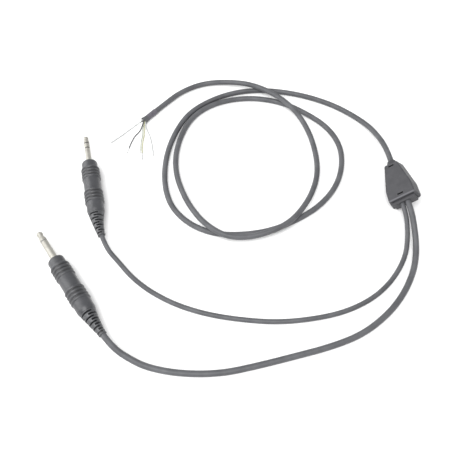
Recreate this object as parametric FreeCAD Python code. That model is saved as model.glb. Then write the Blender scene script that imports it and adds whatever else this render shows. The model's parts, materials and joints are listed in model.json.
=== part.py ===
"""Aviation headset cord set: two moulded plugs, a Y junction box and the cords between them."""

import FreeCAD, Part
import math
import os

from FreeCAD import Placement, Rotation, Vector

# Plug stations, in mm along the plug from the front ribs; the finger points along +X
TIP_END = 41.3
NOSE_FRONT = 7.0
NOSE_REAR = -0.4
FRONT_CREST = -2.5
REAR_CREST = -30.1
SHOULDER_END = -51.4
HANDLE_END = -54.6
RELIEF_END = -78.6

# Handle, the same on both plugs
AXIS_HEIGHT = 8.85
NOSE_R = 7.5
NOSE_ROUND = 1.6
NOSE_REAR_R = 7.2
NOSE_STEP = 0.25
FRONT_RIB_R = 8.7
FRONT_RIB_PITCH = 3.66
REAR_RIB_R = 8.85
REAR_RIB_PITCH = 3.73
RIB_COUNT = 4
RIB_CREST = 1.3
RIB_FLANK = 0.65
RIB_ROUND = 1.1
GROOVE_ROUND = 0.4
BARREL_R = 7.9
SHOULDER_R = 7.85
SHOULDER_ROUND = 6.0
HANDLE_END_R = 7.0
HANDLE_END_ROUND = 0.3
NOSE_WALL = 1.5
CAVITY_R = 5.4

# Inner mould and cord crimp
MOULD_R = 5.3
MOULD_BORE_R = 4.3
MOULD_FRONT_WALL = 3.0
MOULD_END = -47.2
MOULD_ROUND = 0.4
CORD_END_IN_PLUG = -24.0
CRIMP_START = -28.0
CRIMP_LENGTH = 8.0
CRIMP_WALL = 0.6
CRIMP_EDGE = 0.2
WIRE_R = 0.5
WIRES_DRAWN_IN = 0.4

# Strain relief: its radius at distances behind the handle
RELIEF_STEPS = [(0.0, 7.0), (3.4, 6.45), (7.4, 5.6), (12.4, 4.85), (17.4, 4.1), (22.2, 3.45)]
RELIEF_LIP_R = 3.6
RELIEF_LIP_LENGTH = 1.2
RELIEF_NECK_R = 5.3
RELIEF_NECK_LENGTH = 6.0
SLOT_COUNT = 9
SLOT_PITCH = 2.5
SLOT_WIDTH = 1.25
FIRST_SLOT = 1.2
WEB_HALF_ANGLE = 25.0
SEAM = 0.1
FIT = 0.02
# how far a cutter reaches past the piece that it cuts
PAST = 1.0

# Microphone plug, 5.23 mm finger with three contacts; a tip's outline gives
# (distance behind its end, radius, corner radius)
MIC_FINGER_R = 2.616
MIC_SHOULDER_R = 2.9
MIC_TIP = [(0.0, 1.9, 1.1), (2.2, 2.6, 0.9), (4.2, 2.1, 0.8), (5.6, 2.616, 0.5)]
MIC_TIP_RING = 8.7
MIC_SLEEVE_RING = 15.1
MIC_PLACE = Vector(-135.4, 66.4, AXIS_HEIGHT)
MIC_HEADING = 102.8
MIC_BEND = 10.5
MIC_BEND_DROP = 22.0
MIC_WEB_TURN = 45.0

# Phones plug, 6.35 mm finger with two contacts
PHONES_FINGER_R = 3.175
PHONES_SHOULDER_R = 3.4
PHONES_TIP = [(0.0, 1.9, 1.3), (2.0, 3.1, 1.4), (5.0, 2.3, 1.0), (8.3, 3.175, 0.6)]
PHONES_TIP_RING = 11.2
PHONES_PLACE = Vector(-149.4, -41.6, AXIS_HEIGHT)
PHONES_HEADING = 124.2
PHONES_BEND = 6.0
PHONES_BEND_DROP = 38.0
PHONES_WEB_TURN = 55.0

# Contacts and insulators
RING_WIDTH = 1.2
RING_SUNK = 0.22
CONTACT_EDGE = 0.1
SLEEVE_CONTACT_EDGE = 0.15
COLLAR_R = 4.2
COLLAR_FRONT = 2.3
COLLAR_END = -2.0
COLLAR_WIRE = -3.2
INNER_TUBE_END = -9.0
OUTER_TUBE_END = -4.0

# Y junction box, in its own frame: X towards the wide end, Z out of the cover
JUNCTION_PLACE = Vector(150.0, 64.4, 19.72)
JUNCTION_YAW = -81.9
JUNCTION_PITCH = 2.2
JUNCTION_ROLL = 37.7
BOX_HALF_NARROW = 6.2
BOX_WIDE_START = 26.3
BOX_HALF_WIDE = 12.5
BOX_LENGTH = 38.7
BOX_HALF_LIP = 12.9
BOX_HEIGHT = 12.0
BOX_PARTING = 6.4
BOX_DRAFT = 1.5
BOX_WALL = 1.6
BOX_EDGE = 1.2
BOX_CORNER_R = 1.6
BOX_SIDE_R = 12.0
BLOCK_LENGTH = 3.4
BLOCK_HALF = 11.2
BLOCK_TOP = 2.6
BLOCK_GAP = 0.2
BLOCK_ROUND = 1.2
BLOCK_ROOT = 2.0
CORD_LEVEL = -6.3
LEG_OFFSET = 2.75
NECK_LENGTH = 5.0
NECK_R = 3.9
NECK_ROOT_R = 5.3
NECK_ROUND = 0.8
GROMMET_PROUD = 0.3
MAIN_BUSH_WALL = 0.85
LEG_BUSH_WALL = 0.2
LEG_BUSH_EDGE = 0.08
BUSH_REACH = 1.0
BUSH_FIT = 0.05
SLIT_WIDTH = 1.5
TONGUE_HALF = 0.5
TONGUE_SUNK = 0.6
# place, length of the slit and half width of the tongue
LATCHES = [(3.0, 5.4, 4.4), (34.5, 5.8, 2.7)]
TAIL_LENGTH = 4.6
LEG_TAIL_START = 35.2
SPLICE_R = 0.85
SPLICE_LENGTH = 6.0
# height of each wire over the cords, and where its splice starts
MIC_SPLICES = [(-1.45, 9.0), (0.0, 17.0), (1.45, 25.0)]
PHONES_SPLICES = [(-1.3, 13.0), (1.3, 21.0)]
WIRES_ASIDE_START = 1.2
WIRES_ASIDE_END = 3.8

# Cords
MAIN_R = 2.6
MIC_CORD_R = 2.15
PHONES_CORD_R = 2.65
EXIT_RUN = 11.0
LEG_EXIT_RUN = 10.0
LAST_RUN = 14.0
# share of the shorter run beside a corner that its arc takes
ARC_SHARE = 0.45
SLEEVE_R = 3.0
SLEEVE_LENGTH = 12.0
SLEEVE_ROUND = 0.25
FLARE_LENGTH = 5.5
FLARE_R = 3.8
FLARE_WALL = 0.5
FLARE_SET_IN = 0.1
LEAD_R = 0.55
SCREEN_R = 0.65
LEAD_TIP_R = 0.35

# Main cord from the junction box: over the top, twice round and out to its stripped end
MAIN_ROUTE = [
    (149, 96, 13), (146, 111, 8), (140, 127, 4), (127, 142, 2.6),
    (108, 157, 2.6), (84, 169, 2.6), (57, 177, 2.6), (29, 180, 2.6), (3, 176, 2.6),
    (-21, 165, 2.6), (-42, 148, 2.6), (-54, 126, 2.6), (-62, 100, 2.6), (-65, 74, 2.6),
    (-63, 47, 2.6), (-55, 24, 2.6), (-37, 5, 2.6), (-13, -5, 2.6), (13, -5, 2.6),
    (38, 0, 2.6), (62, 12, 2.6), (84, 28, 2.6), (101, 51, 2.6), (109, 77, 2.6),
    (109, 103, 2.6), (98, 127, 2.6), (79, 145, 2.6), (55, 161, 2.6), (27, 168, 2.6),
    (0, 166, 2.6), (-24, 156, 2.6), (-41, 139, 2.6), (-51, 114, 2.6), (-55, 88, 2.6),
    (-53, 64, 2.6), (-46, 42, 3.5), (-37, 21, 7.5), (-24, 2, 9.5), (-6, -11, 9.4),
    (13, -11, 6.4), (33, -7, 8.8), (52, 3, 9.5), (65, 19, 7.5), (77, 42, 3.6),
    (84, 66, 2.6), (84, 93, 3), (78, 121, 5.5), (65, 146, 9.4), (46, 167, 9.4),
    (22, 182, 9), (-4, 191, 4), (-30, 190, 2.6), (-53, 177, 2.8), (-70, 158, 3.1),
    (-86, 139, 3.1),
]

# Microphone leg and phones leg, from the junction box to near their plugs
MIC_ROUTE = [
    (159.5, 1, 7.5), (158.5, -12, 3.5), (154.5, -27, 2.15), (146.5, -42, 2.15),
    (134, -58, 2.15), (117, -72, 2.15), (94, -83, 2.15), (68, -89, 2.15), (39, -92, 2.15),
    (10, -90, 2.15), (-20, -85, 2.15), (-47, -76, 2.15), (-70, -63, 2.15), (-87, -49, 2.8),
    (-99, -35, 4.5),
]
PHONES_ROUTE = [
    (164.5, 1, 11), (165.5, -12, 5.5), (164, -27, 2.65), (158.5, -45, 2.65),
    (147, -66, 2.65), (131, -85, 2.65), (108, -103, 2.65), (81, -114, 2.65), (52, -122, 2.65),
    (22, -130, 2.65), (-9, -137, 2.65), (-41, -137, 2.65), (-67, -132, 2.8), (-82, -125, 4),
]

# Leads, fanned out on the ground from the stripped end of the main cord
SCREEN_ROUTE = [
    (-87.3, 139.7, 2.9), (-91.2, 136, 2.5), (-97, 131, 1), (-104, 124, 0.7),
    (-112, 115, 0.7), (-121, 107, 0.7),
]
BLACK_ROUTE = [
    (-86.3, 138.9, 4.6), (-89.3, 134.7, 4), (-91, 128, 1.6), (-93, 122, 0.6),
    (-99, 114, 0.6), (-102, 100, 0.6),
]
YELLOW_ROUTE = [
    (-86.1, 138.6, 2.8), (-89, 134.3, 2.2), (-88.4, 126, 0.8), (-88, 116, 0.6),
    (-89.2, 106, 0.6), (-88.3, 94, 0.6),
]
GREEN_ROUTE = [
    (-86.5, 138.9, 1.4), (-90, 134.8, 1.1), (-90.3, 126, 0.7), (-89.8, 116, 0.6),
    (-91, 106, 0.6), (-90.2, 97, 0.6),
]
GREY_ROUTE = [
    (-85, 137.8, 3.4), (-88, 133.6, 3.1), (-86.7, 126, 1.3), (-82.5, 117, 0.6),
    (-79.5, 106, 0.6), (-77.6, 94, 0.6),
]
# each lead's route and the length of its tinned end
LEADS = [
    ("black_lead", BLACK_ROUTE, 8.0),
    ("yellow_lead", YELLOW_ROUTE, 9.5),
    ("green_lead", GREEN_ROUTE, 4.5),
    ("grey_lead", GREY_ROUTE, 4.0),
]

ORIGIN = Vector(0, 0, 0)
X_AXIS = Vector(1, 0, 0)
Z_AXIS = Vector(0, 0, 1)
PARTS = {}


def keep(name, shape):
    """Store a finished piece under its node name."""
    PARTS[name] = shape


def rounded_wire(corners, level=0.0):
    """Closed wire at a level through (u, v, radius) corners, with tangent arcs at the corners."""
    points = [Vector(u, v, level) for u, v, _ in corners]
    starts = []
    middles = []
    ends = []
    for i, (_, _, radius) in enumerate(corners):
        here = points[i]
        to_before = (points[i - 1] - here).normalize()
        to_after = (points[(i + 1) % len(points)] - here).normalize()
        half = to_before.getAngle(to_after) / 2
        if radius == 0:
            starts.append(here)
            middles.append(None)
            ends.append(here)
            continue
        reach = radius / math.tan(half)
        inward = (to_before + to_after).normalize()
        centre = here + inward * (radius / math.sin(half))
        starts.append(here + to_before * reach)
        middles.append(centre - inward * radius)
        ends.append(here + to_after * reach)
    edges = []
    for i in range(len(points)):
        if middles[i] is not None:
            edges.append(Part.Arc(starts[i], middles[i], ends[i]).toShape())
        after = starts[(i + 1) % len(points)]
        if (after - ends[i]).Length > 1e-6:
            edges.append(Part.LineSegment(ends[i], after).toShape())
    return Part.Wire(edges)


def turned(corners):
    """Solid of revolution about X, from (station, radius, corner radius) corners."""
    return Part.Face(rounded_wire(corners)).revolve(ORIGIN, X_AXIS, 360)


def ring(start, end, inner, outer, edge=0.0):
    """Plain turned ring between two stations."""
    return turned([(start, inner, 0), (end, inner, 0), (end, outer, edge), (start, outer, edge)])


def rod(start, end, radius):
    """Straight round bar between two points."""
    return Part.makeCylinder(radius, (end - start).Length, start, end - start)


def rib_corners(crest, pitch, rib_radius):
    """Outline corners of a row of ribs, walked from the front to the rear."""
    corners = []
    for i in range(RIB_COUNT):
        middle = crest - i * pitch
        front = middle + RIB_CREST / 2
        rear = middle - RIB_CREST / 2
        corners.append((front + RIB_FLANK, BARREL_R, GROOVE_ROUND))
        corners.append((front, rib_radius, RIB_ROUND))
        corners.append((rear, rib_radius, RIB_ROUND))
        corners.append((rear - RIB_FLANK, BARREL_R, GROOVE_ROUND))
    return corners


def handle(shoulder_r):
    """Ribbed handle with a bore for the finger and a cavity for the inner mould."""
    wall = NOSE_FRONT - NOSE_WALL
    outline = [(NOSE_FRONT, NOSE_R, NOSE_ROUND), (NOSE_REAR, NOSE_REAR_R, 0)]
    outline.append((NOSE_REAR - NOSE_STEP, BARREL_R, 0))
    outline += rib_corners(FRONT_CREST, FRONT_RIB_PITCH, FRONT_RIB_R)
    outline += rib_corners(REAR_CREST, REAR_RIB_PITCH, REAR_RIB_R)
    outline.append((SHOULDER_END, SHOULDER_R, SHOULDER_ROUND))
    outline.append((HANDLE_END, HANDLE_END_R, HANDLE_END_ROUND))
    outline += [(HANDLE_END, CAVITY_R, 0), (wall, CAVITY_R, 0)]
    outline += [(wall, shoulder_r + FIT, 0), (NOSE_FRONT, shoulder_r + FIT, 0)]
    return turned(outline)


class Bend:
    """The centreline of a strain relief: an arc that leaves the handle straight and curves away."""

    def __init__(self, bend, drop):
        self.length = HANDLE_END - RELIEF_END
        self.radius = self.length / math.radians(bend)
        lean = math.radians(drop)
        self.side = Vector(0, -math.cos(lean), -math.sin(lean))

    def point(self, distance):
        angle = distance / self.radius
        along = -self.radius * math.sin(angle)
        aside = self.radius * (1 - math.cos(angle))
        return Vector(HANDLE_END + along, 0, 0) + self.side * aside

    def heading(self, distance):
        angle = distance / self.radius
        return Vector(-math.cos(angle), 0, 0) + self.side * math.sin(angle)

    def circle(self, distance, radius):
        return Part.Wire(Part.makeCircle(radius, self.point(distance), self.heading(distance)))

    def arc(self):
        middle = self.point(self.length / 2)
        return Part.Arc(self.point(0), middle, self.point(self.length)).toShape()


def slot_cutter(bend, index, web_turn):
    """The two open sectors of one slot, either side of its pair of webs."""
    turn = web_turn + 90.0 * (index % 2)
    at = FIRST_SLOT + index * SLOT_PITCH
    reach = NOSE_R + 2 * PAST
    sectors = []
    for half_turn in (0.0, 180.0):
        low = math.radians(turn + half_turn + WEB_HALF_ANGLE)
        high = math.radians(turn + half_turn + 180.0 - WEB_HALF_ANGLE)
        middle = (low + high) / 2
        rim = [Vector(reach * math.cos(a), -reach * math.sin(a), 0) for a in (low, middle, high)]
        edges = [
            Part.LineSegment(ORIGIN, rim[0]).toShape(),
            Part.Arc(rim[0], rim[1], rim[2]).toShape(),
            Part.LineSegment(rim[2], ORIGIN).toShape(),
        ]
        sectors.append(Part.Face(Part.Wire(edges)).extrude(Vector(0, 0, SLOT_WIDTH)))
    cutter = Part.makeCompound(sectors)
    # the sectors are measured from the top of the plug, towards its right seen from behind
    upright = Rotation(Vector(0, 0, 1), Vector(0, -1, 0), Vector(-1, 0, 0), "ZXY")
    follow = Rotation(Vector(-1, 0, 0), bend.heading(at))
    cutter.Placement = Placement(bend.point(at), follow.multiply(upright))
    return cutter


def strain_relief(bend, cord_r, web_turn):
    """Slotted, tapering and curved strain relief with a neck that sits in the handle."""
    bore_r = cord_r + FIT
    body_end = bend.length - RELIEF_LIP_LENGTH
    sections = [bend.circle(SEAM, RELIEF_STEPS[0][1])]
    for distance, radius in RELIEF_STEPS[1:]:
        sections.append(bend.circle(distance, radius))
    sections.append(bend.circle(body_end, RELIEF_STEPS[-1][1]))
    body = Part.makeLoft(sections, True, True)
    lip_rear = bend.circle(bend.length, RELIEF_LIP_R)
    lip = Part.makeLoft([bend.circle(body_end, RELIEF_LIP_R), lip_rear], True, True)
    relief = body.fuse(lip)
    slots = [slot_cutter(bend, i, web_turn) for i in range(SLOT_COUNT)]
    relief = relief.cut(Part.makeCompound(slots))
    neck_front = Vector(HANDLE_END + RELIEF_NECK_LENGTH, 0, 0)
    relief = relief.fuse(rod(neck_front, bend.point(SEAM), RELIEF_NECK_R))
    path = Part.Wire([Part.LineSegment(neck_front + X_AXIS, bend.point(0)).toShape(), bend.arc()])
    relief = relief.cut(tube_along(path, bore_r, neck_front + X_AXIS, X_AXIS * -1))
    return relief.removeSplitter()


def tube_along(path, radius, start, heading):
    """Round solid swept along a wire."""
    section = Part.Wire(Part.makeCircle(radius, start, heading))
    return Part.Wire(path.Edges).makePipeShell([section], True, False)


def cord_tail(bend, cord_r):
    """The jacketed end of a leg, from the strain relief's mouth into the handle."""
    front = Vector(CORD_END_IN_PLUG, 0, 0)
    path = Part.Wire([Part.LineSegment(front, bend.point(0)).toShape(), bend.arc()])
    return tube_along(path, cord_r, front, X_AXIS * -1)


def inner_mould(shoulder_r):
    """Stiff tube inside the handle that holds the contacts' rear ends."""
    front = NOSE_FRONT - NOSE_WALL - SEAM
    wall = front - MOULD_FRONT_WALL
    return turned([
        (front, shoulder_r + FIT, 0), (front, MOULD_R, MOULD_ROUND),
        (MOULD_END, MOULD_R, MOULD_ROUND), (MOULD_END, MOULD_BORE_R, 0),
        (wall, MOULD_BORE_R, 0), (wall, shoulder_r + FIT, 0),
    ])


def sleeve_contact(finger_r, shoulder_r, bore_r, ring_from_tip):
    """Long rear contact of the finger, with a collar inside the handle."""
    front = TIP_END - ring_from_tip - RING_WIDTH / 2
    return turned([
        (front, bore_r, 0), (front, finger_r, SLEEVE_CONTACT_EDGE), (NOSE_FRONT, finger_r, 0),
        (NOSE_FRONT, shoulder_r, 0), (COLLAR_FRONT, shoulder_r, 0), (COLLAR_FRONT, COLLAR_R, 0),
        (COLLAR_END, COLLAR_R, 0), (COLLAR_END, bore_r, 0),
    ])


def insulator(finger_r, ring_from_tip, inner_r, outer_r, rear):
    """Insulating tube with a thin ring that shows between two contacts."""
    middle = TIP_END - ring_from_tip
    front = middle + RING_WIDTH / 2
    back = middle - RING_WIDTH / 2
    return turned([
        (front, inner_r, 0), (front, finger_r - RING_SUNK, 0), (back, finger_r - RING_SUNK, 0),
        (back, outer_r, 0), (rear, outer_r, 0), (rear, inner_r, 0),
    ])


def place_plug(name, pieces, place, heading):
    """Lay one plug's pieces on the ground and keep them."""
    placement = Placement(place, Rotation(Z_AXIS, heading))
    for piece, shape in pieces.items():
        keep(name + "_" + piece, moved(shape, placement))


def moved(shape, placement):
    """A copy of a shape, carried by a placement."""
    copy = shape.copy()
    copy.Placement = placement.multiply(copy.Placement)
    return copy


def plug_wires(rear_ends):
    """Straight solder wires from the contacts' rear ends to the end of the cord."""
    wires = []
    for station, height in rear_ends:
        start = Vector(station - SEAM, 0, height)
        end = Vector(CORD_END_IN_PLUG + SEAM, 0, height * WIRES_DRAWN_IN)
        wires.append(rod(start, end, WIRE_R))
    return Part.makeCompound(wires)


def common_plug_pieces(bend, cord_r, shoulder_r, web_turn):
    """The pieces that both plugs have."""
    crimp_end = CRIMP_START - CRIMP_LENGTH
    return {
        "handle": handle(shoulder_r),
        "strain_relief": strain_relief(bend, cord_r, web_turn),
        "inner_mould": inner_mould(shoulder_r),
        "cord_tail": cord_tail(bend, cord_r),
        "cord_crimp": ring(crimp_end, CRIMP_START, cord_r + FIT, cord_r + CRIMP_WALL, CRIMP_EDGE),
    }


def tip_contact(outline, ring_from_tip, rod_r, rod_end):
    """Tip of the finger, on a rod that runs back through the other contacts."""
    rear = TIP_END - ring_from_tip + RING_WIDTH / 2
    finger_r = outline[-1][1]
    corners = [(TIP_END, 0, 0)]
    corners += [(TIP_END - behind, radius, rounding) for behind, radius, rounding in outline]
    corners += [(rear, finger_r, CONTACT_EDGE), (rear, rod_r, 0), (rod_end, rod_r, 0), (rod_end, 0, 0)]
    return turned(corners)


def mic_plug(bend):
    """Microphone plug: tip, ring and sleeve contacts, one inside the other."""
    finger = MIC_FINGER_R
    ring_front = TIP_END - MIC_TIP_RING - RING_WIDTH / 2
    ring_rear = TIP_END - MIC_SLEEVE_RING + RING_WIDTH / 2
    rod_r = 0.6
    ring_bore = 1.0
    ring_tube = 1.45
    sleeve_bore = 1.95
    rod_end = -12.0
    ring_end = -7.0
    pieces = common_plug_pieces(bend, MIC_CORD_R, MIC_SHOULDER_R, MIC_WEB_TURN)
    pieces["tip_contact"] = tip_contact(MIC_TIP, MIC_TIP_RING, rod_r, rod_end)
    pieces["ring_contact"] = turned([
        (ring_front, ring_bore + FIT, 0), (ring_front, finger, CONTACT_EDGE),
        (ring_rear, finger, CONTACT_EDGE),
        (ring_rear, ring_tube, 0), (ring_end, ring_tube, 0), (ring_end, ring_bore + FIT, 0),
    ])
    pieces["tip_insulator"] = insulator(
        finger, MIC_TIP_RING, rod_r + FIT, ring_bore, INNER_TUBE_END)
    pieces["ring_insulator"] = insulator(
        finger, MIC_SLEEVE_RING, ring_tube + FIT, sleeve_bore - FIT, OUTER_TUBE_END)
    pieces["sleeve_contact"] = sleeve_contact(finger, MIC_SHOULDER_R, sleeve_bore, MIC_SLEEVE_RING)
    pieces["wires"] = plug_wires([(rod_end, 0), (ring_end, 1.65), (COLLAR_END, COLLAR_WIRE)])
    return pieces


def phones_plug(bend):
    """Phones plug: tip and sleeve contacts."""
    finger = PHONES_FINGER_R
    rod_r = 1.1
    sleeve_bore = 2.0
    rod_end = -9.0
    pieces = common_plug_pieces(bend, PHONES_CORD_R, PHONES_SHOULDER_R, PHONES_WEB_TURN)
    pieces["tip_contact"] = tip_contact(PHONES_TIP, PHONES_TIP_RING, rod_r, rod_end)
    pieces["tip_insulator"] = insulator(
        finger, PHONES_TIP_RING, rod_r + FIT, sleeve_bore - FIT, OUTER_TUBE_END)
    pieces["sleeve_contact"] = sleeve_contact(
        finger, PHONES_SHOULDER_R, sleeve_bore, PHONES_TIP_RING)
    pieces["wires"] = plug_wires([(rod_end, 0), (COLLAR_END, COLLAR_WIRE)])
    return pieces


def box_outline(offset, level):
    """Plan of the junction box at a height, grown outwards by an offset."""
    narrow = BOX_HALF_NARROW + offset
    wide = BOX_HALF_WIDE + offset
    lip = BOX_HALF_LIP + offset
    corner = BOX_CORNER_R + offset / 2
    end = BOX_LENGTH + offset
    return rounded_wire([
        (-offset, -narrow, corner), (BOX_WIDE_START, -wide, BOX_SIDE_R), (end, -lip, corner),
        (end, lip, corner), (BOX_WIDE_START, wide, BOX_SIDE_R), (-offset, narrow, corner),
    ], level)


def box_loft(inset, top, bottom):
    """Solid between two plans of the box, whose walls lean out towards the base."""
    lean = BOX_DRAFT / BOX_HEIGHT
    upper = box_outline(top * lean - inset, -top)
    lower = box_outline(bottom * lean - inset, -bottom)
    return Part.makeLoft([upper, lower], True, True)


def box_block(x_start, x_end, half_width, top, bottom):
    """Straight block across the box."""
    return Part.makeBox(
        x_end - x_start, 2 * half_width, bottom - top, Vector(x_start, -half_width, -bottom))


def cord_bores():
    """The holes for the three grommets, as one cutter."""
    main_in = Vector(-NECK_LENGTH - PAST, 0, CORD_LEVEL)
    leg_out = BOX_LENGTH + BLOCK_LENGTH + PAST
    main_bore_r = MAIN_R + MAIN_BUSH_WALL + BUSH_FIT
    bores = [rod(main_in, Vector(BOX_WALL + 2 * PAST, 0, CORD_LEVEL), main_bore_r)]
    for aside, cord_r in ((-LEG_OFFSET, MIC_CORD_R), (LEG_OFFSET, PHONES_CORD_R)):
        start = Vector(BOX_LENGTH - BOX_WALL - 2 * PAST, aside, CORD_LEVEL)
        bore_r = cord_r + LEG_BUSH_WALL + FIT
        bores.append(rod(start, Vector(leg_out, aside, CORD_LEVEL), bore_r))
    return Part.makeCompound(bores)


def junction_cover():
    """Upper shell of the junction box, with two latch slits."""
    cover = box_loft(0.0, 0.0, BOX_PARTING)
    rim = [e for e in cover.Edges if abs(e.BoundBox.ZMin) < 1e-3 and abs(e.BoundBox.ZMax) < 1e-3]
    cover = cover.makeFillet(BOX_EDGE, rim)
    cover = cover.cut(box_loft(BOX_WALL, BOX_WALL, BOX_PARTING + PAST))
    for place, length, _ in LATCHES:
        slit = Part.makeBox(
            SLIT_WIDTH, length, BOX_WALL + PAST,
            Vector(place - SLIT_WIDTH / 2, -length / 2, -BOX_WALL - PAST / 2))
        cover = cover.cut(slit)
    return cover.cut(cord_bores())


def junction_base():
    """Lower shell with the cord outlet block and two latch tongues."""
    base = box_loft(0.0, BOX_PARTING + SEAM, BOX_HEIGHT)
    far = BOX_LENGTH + BLOCK_LENGTH
    root = BOX_LENGTH - BLOCK_ROOT
    block = box_block(root, far, BLOCK_HALF, BOX_PARTING + SEAM, BOX_HEIGHT)
    riser = box_block(root, far, BLOCK_HALF, BLOCK_TOP, BOX_HEIGHT)
    riser = riser.cut(box_loft(-BLOCK_GAP, 0.0, BOX_PARTING + SEAM))
    outlet = block.fuse(riser).removeSplitter()
    edges = [e for e in outlet.Edges if e.BoundBox.XMin > far - 1e-3 and e.BoundBox.YLength < 1e-3]
    outlet = outlet.makeFillet(BLOCK_ROUND, edges)
    base = base.fuse(outlet)
    base = base.cut(box_loft(BOX_WALL, BOX_PARTING - PAST, BOX_HEIGHT - BOX_WALL))
    for place, _, half_width in LATCHES:
        tongue = box_block(
            place - TONGUE_HALF, place + TONGUE_HALF, half_width, BOX_WALL + TONGUE_SUNK,
            BOX_HEIGHT - BOX_WALL / 2)
        base = base.fuse(tongue)
    return base.cut(cord_bores()).removeSplitter()


def main_grommet():
    """Tapered neck where the main cord enters."""
    neck = turned([
        (-NECK_LENGTH, MAIN_R + FIT, 0), (-NECK_LENGTH, NECK_R, NECK_ROUND), (0, NECK_ROOT_R, 0),
        (0, MAIN_R + FIT, 0),
    ])
    bush = ring(-BOX_DRAFT, BOX_WALL + BUSH_REACH, MAIN_R + FIT, MAIN_R + MAIN_BUSH_WALL)
    at = Placement(Vector(0, 0, CORD_LEVEL), Rotation())
    return moved(neck, at).cut(box_loft(0.0, 0.0, BOX_HEIGHT)).fuse(moved(bush, at)).removeSplitter()


def leg_grommet(aside, cord_r):
    """Thin bush where a leg leaves the outlet block."""
    start = BOX_LENGTH - BOX_WALL - BUSH_REACH
    end = BOX_LENGTH + BLOCK_LENGTH + GROMMET_PROUD
    bush = ring(start, end, cord_r + FIT, cord_r + LEG_BUSH_WALL, LEG_BUSH_EDGE)
    return moved(bush, Placement(Vector(0, aside, CORD_LEVEL), Rotation()))


def cord_run(points):
    """Wire of straight runs joined by tangent arcs, and the arcs' radii."""
    edges = []
    radii = []
    at = points[0]
    for before, here, after in zip(points, points[1:], points[2:]):
        arriving = (here - before).normalize()
        leaving = (after - here).normalize()
        turn = arriving.getAngle(leaving)
        reach = ARC_SHARE * min((here - before).Length, (after - here).Length)
        radius = reach / math.tan(turn / 2)
        inward = (leaving - arriving).normalize()
        centre = here + inward * (radius / math.cos(turn / 2))
        start = here - arriving * reach
        end = here + leaving * reach
        edges.append(Part.LineSegment(at, start).toShape())
        edges.append(Part.Arc(start, centre - inward * radius, end).toShape())
        radii.append(radius)
        at = end
    edges.append(Part.LineSegment(at, points[-1]).toShape())
    return Part.Wire(edges), radii


def gap_to_itself(path, cord_r):
    """Least gap between two stretches of a cord that lie apart along it."""
    step = 2.0
    same_stretch = 40.0
    points = path.discretize(Distance=step)
    apart = int(same_stretch / step)
    least = 1e9
    for i, here in enumerate(points):
        for there in points[i + apart:]:
            least = min(least, here.distanceToPoint(there))
    return least - 2 * cord_r


def cord(name, route, cord_r, looped=False):
    """One cord as a round tube, with its figures printed."""
    points = [Vector(*p) for p in route]
    path, radii = cord_run(points)
    tube = tube_along(path, cord_r, points[0], points[1] - points[0])
    section = math.pi * cord_r ** 2
    print(name, "length %.1f" % path.Length, "least radius %.1f" % min(radii),
          "volume ratio %.4f" % (tube.Volume / (section * path.Length)), "valid", tube.isValid())
    if looped:
        print(name, "least gap to itself %.2f" % gap_to_itself(path, cord_r))
    keep(name, tube)


def jacket_tail(start, end, aside, cord_r):
    """The jacketed end of a cord inside the junction box."""
    return rod(Vector(start, aside, CORD_LEVEL), Vector(end, aside, CORD_LEVEL), cord_r)


def splices():
    """Wires from the main cord to the two legs, and the sleeves over their joints."""
    wires = []
    sleeves = []
    for side, rows in ((-1, MIC_SPLICES), (1, PHONES_SPLICES)):
        for height, sleeve_start in rows:
            level = CORD_LEVEL + height
            start = Vector(TAIL_LENGTH + SEAM, WIRES_ASIDE_START * side, level)
            end = Vector(LEG_TAIL_START - SEAM, WIRES_ASIDE_END * side, level)
            heading = (end - start).normalize()
            wire = rod(start, end, WIRE_R)
            low = start + heading * (sleeve_start - TAIL_LENGTH)
            high = low + heading * SPLICE_LENGTH
            wires.append(wire)
            sleeves.append(rod(low, high, SPLICE_R).cut(rod(start, end, WIRE_R + FIT)))
    return Part.makeCompound(wires), Part.makeCompound(sleeves)


def junction():
    """The junction box's pieces, rolled onto one edge as it lies."""
    leg_end = BOX_LENGTH + BLOCK_LENGTH + GROMMET_PROUD
    wires, sleeves = splices()
    at = Placement(JUNCTION_PLACE, Rotation(JUNCTION_YAW, JUNCTION_PITCH, JUNCTION_ROLL))
    keep("junction_cover", moved(junction_cover(), at))
    keep("junction_base", moved(junction_base(), at))
    keep("main_cord_grommet", moved(main_grommet(), at))
    keep("mic_leg_grommet", moved(leg_grommet(-LEG_OFFSET, MIC_CORD_R), at))
    keep("phones_leg_grommet", moved(leg_grommet(LEG_OFFSET, PHONES_CORD_R), at))
    keep("main_cord_tail", moved(jacket_tail(-NECK_LENGTH, TAIL_LENGTH, 0, MAIN_R), at))
    keep("mic_leg_tail", moved(jacket_tail(LEG_TAIL_START, leg_end, -LEG_OFFSET, MIC_CORD_R), at))
    keep("phones_leg_tail", moved(jacket_tail(LEG_TAIL_START, leg_end, LEG_OFFSET, PHONES_CORD_R), at))
    keep("splice_wires", moved(wires, at))
    keep("splice_sleeves", moved(sleeves, at))
    return {
        "main": exit_run(at, Vector(-NECK_LENGTH, 0, CORD_LEVEL), X_AXIS * -1, EXIT_RUN),
        "mic": exit_run(at, Vector(leg_end, -LEG_OFFSET, CORD_LEVEL), X_AXIS, LEG_EXIT_RUN),
        "phones": exit_run(at, Vector(leg_end, LEG_OFFSET, CORD_LEVEL), X_AXIS, LEG_EXIT_RUN),
    }


def exit_run(placement, face, heading, run):
    """First two points of a cord: the centre of the face that it leaves, and straight out of it."""
    start = placement.multVec(face)
    return [start, placement.multVec(face + heading * run)]


def relief_run(bend, place, heading, run):
    """Last two points of a leg: straight into the mouth of its strain relief."""
    placement = Placement(place, Rotation(Z_AXIS, heading))
    return exit_run(placement, bend.point(bend.length), bend.heading(bend.length), run)[::-1]


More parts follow.
